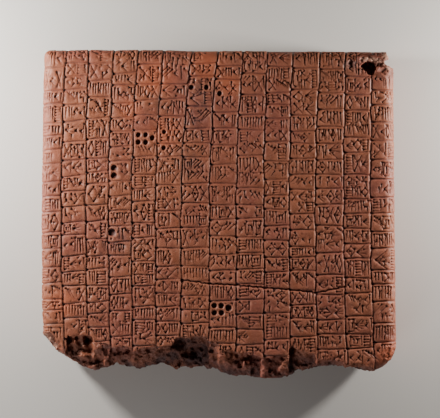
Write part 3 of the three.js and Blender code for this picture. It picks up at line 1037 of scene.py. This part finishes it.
def surface_shares(points, normals, form):
    """How far each point belongs to the written face, the break and the reverse."""
    foot_reach = 3
    wall_reach = 3.2
    wall_blend = 1.2
    ledge_depth = 0.3
    ledge_blend = 0.5
    side_blend = 6
    broken = np.zeros(len(points))
    foot = points[:, 1] < form.down(FRACTURE[0][1]) + foot_reach
    x, y, z = points[foot].T
    wall = form.break_line(x, np.minimum(z, form.lip_level))
    on_wall = smooth(wall + wall_reach - y, 0, wall_blend)
    off_face = fracture_depth(form, x, y) > 0
    on_ledge = smooth(form.thickness - ledge_depth - z, 0, ledge_blend) * off_face
    broken[foot] = np.maximum(on_wall, on_ledge * (z > form.thickness / 3))
    battered = spots(points, form, BRUISES) * (points[:, 2] > form.shoulder)
    broken = np.maximum(broken, smooth(battered, 0.25, 0.5))
    written = smooth(points[:, 2], form.shoulder - side_blend, form.shoulder)
    under = smooth(-normals[:, 2], 0.5, 0.95)
    return written, broken, under


def press_relief(piece, form, canvas, heights):
    """Presses the worked-out relief into the skin, and roughens what is bare."""
    bare_level = -0.25
    torn_level = -0.3
    points = read_points(piece)
    normals = read_vectors(piece.data.vertex_normals, "vector")
    written, broken, under = surface_shares(points, normals, form)
    relief = canvas.sample(heights, *form.unroll(points))
    bare = bare_level + rough_heights(points, BARE_CLAY)
    torn = np.zeros(len(points))
    torn[broken > 0] = torn_level + rough_heights(points[broken > 0], TORN_CLAY)
    depth = written * relief + (1 - written) * bare
    depth = depth * (1 - broken) + torn * broken
    depth = depth * (1 - under) + under * np.minimum(bare, 0) * 0.6
    keep_inside(piece, points + normals * depth[:, None])


def thin_mesh(piece, most):
    """Joins faces down to the given number, and keeps the piece inside its box."""
    faces = sum(len(polygon.vertices) - 2 for polygon in piece.data.polygons)
    apply_modifier(piece, "DECIMATE", ratio=min(1, most / faces))
    keep_inside(piece, read_points(piece))


def mark_surface(piece, form, canvas, heights):
    """Stores what the clay's material reads: hollows and their raised edges for painted shade and a
    painted highlight, the break, darker deeper down as painted shade, and the spots, some of them
    painted shade at the foot.
    """
    fine_size = 1.6
    points = read_points(piece)
    normals = read_vectors(piece.data.vertex_normals, "vector")
    written, broken, _ = surface_shares(points, normals, form)
    fine = canvas.blur(heights, fine_size) - heights
    marks = {
        # hollow is above zero in the marks and below it on their raised edges; the material paints
        # shade with some dirt in the first and a highlight on the second.
        "hollow": canvas.sample(fine, *form.unroll(points)) * written * (1 - broken),
        # The break's mark grows with depth below the face: the break's own darker colour near the
        # face, with painted shade added further down.
        "broken": broken * (0.25 + 0.75 * smooth(form.thickness - points[:, 2], 2, 12)),
        # These spots hold stains on the face and painted shade on the break at the foot.
        "stain": spots(points, form, DARK_STAINS_AND_FOOT_SHADE),
        "pale": spots(points, form, PALE_CHIPS),
        "flush": spots(points, form, RED_FLUSHES),
    }
    for name, values in marks.items():
        layer = piece.data.attributes.new(name, "FLOAT", "POINT")
        layer.data.foreach_set("value", values.astype(np.float32))


# Materials.

def add_node(tree, kind, values=(), links=()):
    """Adds a node, sets its inputs, and links outputs of other nodes to it."""
    node = tree.nodes.new(kind)
    for name, value in dict(values).items():
        if name in node.inputs:
            node.inputs[name].default_value = value
        else:
            setattr(node, name, value)
    for name, output in dict(links).items():
        tree.links.new(output, node.inputs[name])
    return node


def fill_input(tree, socket, value):
    """Links an output to a socket, or sets its number or colour."""
    if isinstance(value, bpy.types.NodeSocket):
        tree.links.new(value, socket)
    elif isinstance(value, (int, float)):
        socket.default_value = value
    else:
        socket.default_value = (*value, 1)


def mix_colour(tree, share, first, second, blend="MIX"):
    """The mixed colour; the node's inputs 0, 6 and 7 are its share and two colours."""
    node = add_node(tree, "ShaderNodeMix", {
        "data_type": "RGBA", "blend_type": blend, "clamp_factor": True})
    for number, value in ((0, share), (6, first), (7, second)):
        fill_input(tree, node.inputs[number], value)
    return node.outputs[2]


def calculate(tree, operation, *values):
    """A Math node's result for the given numbers and outputs."""
    node = add_node(tree, "ShaderNodeMath", {"operation": operation})
    for socket, value in zip(node.inputs, values):
        fill_input(tree, socket, value)
    return node.outputs[0]


def map_range(tree, value, low, high, to_low=0.0, to_high=1.0):
    node = add_node(tree, "ShaderNodeMapRange", {
        "From Min": low, "From Max": high, "To Min": to_low, "To Max": to_high,
        "clamp": True}, {"Value": value})
    return node.outputs["Result"]


def noise(tree, place, scale, detail=3.0, roughness=0.55):
    node = add_node(tree, "ShaderNodeTexNoise", {
        "Scale": scale, "Detail": detail, "Roughness": roughness}, {"Vector": place})
    return node.outputs["Fac"]


def read_mark(tree, name):
    """One of the marks that mark_surface stores."""
    return add_node(tree, "ShaderNodeAttribute", {"attribute_name": name}).outputs["Fac"]


def new_group(name, inputs, outputs):
    """A new node group, with its input and its output node."""
    group = bpy.data.node_groups.new(name, "ShaderNodeTree")
    for socket_name, kind in inputs:
        group.interface.new_socket(socket_name, in_out="INPUT", socket_type=kind)
    for socket_name, kind in outputs:
        group.interface.new_socket(socket_name, in_out="OUTPUT", socket_type=kind)
    entry = group.nodes.new("NodeGroupInput")
    leave = group.nodes.new("NodeGroupOutput")
    return group, entry, leave


def clay_tone_group():
    """Patches of redder clay, a fine mottle and small pale specks in it."""
    group, entry, leave = new_group(
        "Clay tone",
        (("Place", "NodeSocketVector"), ("Clay", "NodeSocketColor"), ("Red", "NodeSocketColor")),
        (("Colour", "NodeSocketColor"),))
    place = entry.outputs["Place"]
    patches = map_range(group, noise(group, place, 22, 4), 0.42, 0.6)
    tone = mix_colour(group, patches, entry.outputs["Clay"], entry.outputs["Red"])
    mottle = map_range(group, noise(group, place, 160, 5, 0.65), 0.3, 0.7, 0.78, 1.2)
    shade = add_node(group, "ShaderNodeCombineColor", {}, {
        "Red": mottle, "Green": mottle, "Blue": mottle})
    tone = mix_colour(group, 1.0, tone, shade.outputs["Color"], "MULTIPLY")
    specks = map_range(group, noise(group, place, 900, 2), 0.66, 0.74, 0.0, 0.5)
    tone = mix_colour(group, specks, tone, SPECK_COLOUR)
    group.links.new(tone, leave.inputs["Colour"])
    return group


def grain_group():
    """Fine heights of the clay's skin for a bump."""
    fine_share = 0.35
    group, entry, leave = new_group(
        "Clay grain", (("Place", "NodeSocketVector"),), (("Height", "NodeSocketFloat"),))
    place = entry.outputs["Place"]
    coarse = noise(group, place, 700, 4, 0.6)
    fine = noise(group, place, 2200, 2, 0.5)
    total = calculate(group, "MULTIPLY_ADD", fine, fine_share, coarse)
    group.links.new(total, leave.inputs["Height"])
    return group


def use_group(tree, group, values):
    """Adds a node group, fills its inputs, and returns its first output."""
    node = tree.nodes.new("ShaderNodeGroup")
    node.node_tree = group
    for name, value in values.items():
        fill_input(tree, node.inputs[name], value)
    return node.outputs[0]


def clay_material(settings):
    """Matt clay with painted shade and some dirt in the marks, a dark break with painted shade
    deeper down, a painted highlight on the raised edges of the marks, and light fresh chips.
    """
    material = bpy.data.materials.new("Tablet clay")
    material.use_nodes = True
    tree = material.node_tree
    tree.nodes.clear()
    place = add_node(tree, "ShaderNodeTexCoord").outputs["Object"]
    hollow = read_mark(tree, "hollow")
    broken = read_mark(tree, "broken")

    tone = use_group(tree, clay_tone_group(), {
        "Place": place, "Clay": settings.clay, "Red": settings.red_clay})
    # Stains, and painted shade on the break at the foot.
    blotch = map_range(tree, noise(tree, place, 330, 4, 0.7), 0.4, 0.6, 0.15, 0.8)
    stained_and_shaded = calculate(tree, "MULTIPLY", read_mark(tree, "stain"), blotch)
    flushed = map_range(tree, read_mark(tree, "flush"), 0.2, 0.9, 0.0, 0.8)
    # Painted shade, with some dirt, in the marks' hollows, and a painted highlight on their raised
    # edges.
    floor_shade_and_dirt = map_range(tree, hollow, 0.08, 0.65, 0.0, 0.85)
    painted_rim_highlight = map_range(tree, hollow, -0.06, -0.32, 0.0, 0.5)
    # The break takes patches of its own darker colour, with painted shade deeper down through the
    # broken mark.
    crust = map_range(tree, noise(tree, place, 90, 5, 0.7), 0.38, 0.6, 0.1, 0.95)
    torn = calculate(tree, "MULTIPLY", broken, crust)
    chipped = map_range(tree, read_mark(tree, "pale"), 0.3, 0.8, 0.0, 0.85)
    colour = tone
    for share, layer in ((flushed, FLUSH_COLOUR), (stained_and_shaded, settings.dark_clay_and_shade),
                         (floor_shade_and_dirt, settings.dark_clay_and_shade), (painted_rim_highlight, RIM_HIGHLIGHT_COLOUR),
                         (torn, settings.dark_clay_and_shade), (chipped, CHIP_COLOUR)):
        colour = mix_colour(tree, share, colour, layer)

    grain = use_group(tree, grain_group(), {"Place": place})
    bump = add_node(tree, "ShaderNodeBump", {"Strength": 0.5, "Distance": 0.0004}, {
        "Height": grain})
    crumbs = calculate(tree, "MULTIPLY", broken, noise(tree, place, 420, 6, 0.75))
    bump = add_node(tree, "ShaderNodeBump", {"Strength": 0.8, "Distance": 0.0022}, {
        "Height": crumbs, "Normal": bump.outputs["Normal"]})
    roughness = map_range(tree, noise(tree, place, 120, 3), 0.3, 0.7, 0.5, 0.72)
    shader = add_node(tree, "ShaderNodeBsdfPrincipled", {"Specular IOR Level": 0.45}, {
        "Base Color": colour, "Roughness": roughness, "Normal": bump.outputs["Normal"]})
    add_node(tree, "ShaderNodeOutputMaterial", {}, {"Surface": shader.outputs["BSDF"]})
    return material


def floor_material(studio):
    """A plain matt floor."""
    material = bpy.data.materials.new("Studio floor")
    material.use_nodes = True
    shader = material.node_tree.nodes["Principled BSDF"]
    shader.inputs["Base Color"].default_value = (*studio.floor_colour, 1)
    shader.inputs["Roughness"].default_value = 0.9
    return material


class OBJECT_OT_add_tablet(bpy.types.Operator):
    """Form, rule, write and break the clay tablet"""

    bl_idname = "object.add_clay_tablet"
    bl_label = "Add Clay Tablet"

    def execute(self, context):
        settings = context.scene.tablet_settings
        form = Form(settings)
        tablet = make_slab(form)
        break_foot(tablet, form)
        break_face(tablet, form)
        chip_edges(tablet, form)
        apply_modifier(tablet, "REMESH", mode="VOXEL", voxel_size=settings.grain_step)
        refine_face(tablet, form)
        canvas, heights = write_obverse(form, settings)
        press_relief(tablet, form, canvas, heights)
        thin_mesh(tablet, MOST_TRIANGLES)
        mark_surface(tablet, form, canvas, heights)
        if not tablet.data.polygons:
            raise RuntimeError("The tablet came out empty")
        deselect_all()
        tablet.select_set(True)
        context.view_layer.objects.active = tablet
        bpy.ops.object.shade_smooth()
        tablet.data.materials.clear()
        tablet.data.materials.append(clay_material(settings))
        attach(tablet, BODY)
        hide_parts(NODE)
        return {"FINISHED"}


def add_light(name, place, target, power, size, colour):
    """Adds a soft square light, aimed at its target."""
    bpy.ops.object.light_add(type="AREA", location=place)
    light = bpy.context.object
    light.name = name
    light.data.energy = power
    light.data.size = size
    light.data.color = colour
    direction = Vector(target) - light.location
    light.rotation_euler = direction.to_track_quat("-Z", "Y").to_euler()


class OBJECT_OT_set_stage(bpy.types.Operator):
    """Lay the floor and set the lights and the camera"""

    bl_idname = "object.set_tablet_stage"
    bl_label = "Set Stage"

    def execute(self, context):
        studio = context.scene.studio_settings
        deselect_all()
        bpy.ops.mesh.primitive_plane_add(size=FLOOR_SIZE)
        floor = context.object
        floor.name = "floor"
        floor.data.materials.append(floor_material(studio))

        for name, place, target, size, colour in LIGHTS:
            power = getattr(studio, name + "_power")
            add_light(name + "_light", place, target, power, size, colour)
        world = bpy.data.worlds.new("Studio air")
        world.use_nodes = True
        air = world.node_tree.nodes["Background"]
        air.inputs["Color"].default_value = AIR_COLOUR
        air.inputs["Strength"].default_value = AIR_STRENGTH
        context.scene.world = world

        bpy.ops.object.camera_add(location=(CAMERA_X, CAMERA_Y, studio.camera_height))
        camera = context.object
        camera.rotation_euler = (0, 0, 0)
        distance = studio.camera_height - PICTURE_LEVEL
        camera.data.sensor_width = SENSOR_WIDTH
        camera.data.lens = SENSOR_WIDTH * distance / PICTURE_WIDTH
        camera.data.dof.use_dof = False
        context.scene.camera = camera
        return {"FINISHED"}


class VIEW3D_PT_tablet(bpy.types.Panel):
    """Lists the tablet's settings and the steps that make it"""

    bl_label = "Clay Tablet"
    bl_idname = "VIEW3D_PT_clay_tablet"
    bl_space_type = "VIEW_3D"
    bl_region_type = "UI"
    bl_category = "Tablet"

    def draw(self, context):
        layout = self.layout
        for settings in (context.scene.tablet_settings, context.scene.studio_settings):
            box = layout.box()
            for name in settings.__annotations__:
                box.prop(settings, name)
        layout.operator(OBJECT_OT_add_tablet.bl_idname)
        layout.operator(OBJECT_OT_set_stage.bl_idname)


CLASSES = (
    TabletSettings,
    StudioSettings,
    OBJECT_OT_add_tablet,
    OBJECT_OT_set_stage,
    VIEW3D_PT_tablet,
)


def register():
    for item in CLASSES:
        bpy.utils.register_class(item)
    bpy.types.Scene.tablet_settings = bpy.props.PointerProperty(type=TabletSettings)
    bpy.types.Scene.studio_settings = bpy.props.PointerProperty(type=StudioSettings)


def unregister():
    del bpy.types.Scene.studio_settings
    del bpy.types.Scene.tablet_settings
    for item in reversed(CLASSES):
        bpy.utils.unregister_class(item)


def main():
    register()
    bpy.ops.object.add_clay_tablet()
    bpy.ops.object.set_tablet_stage()


if __name__ == "__main__":
    main()
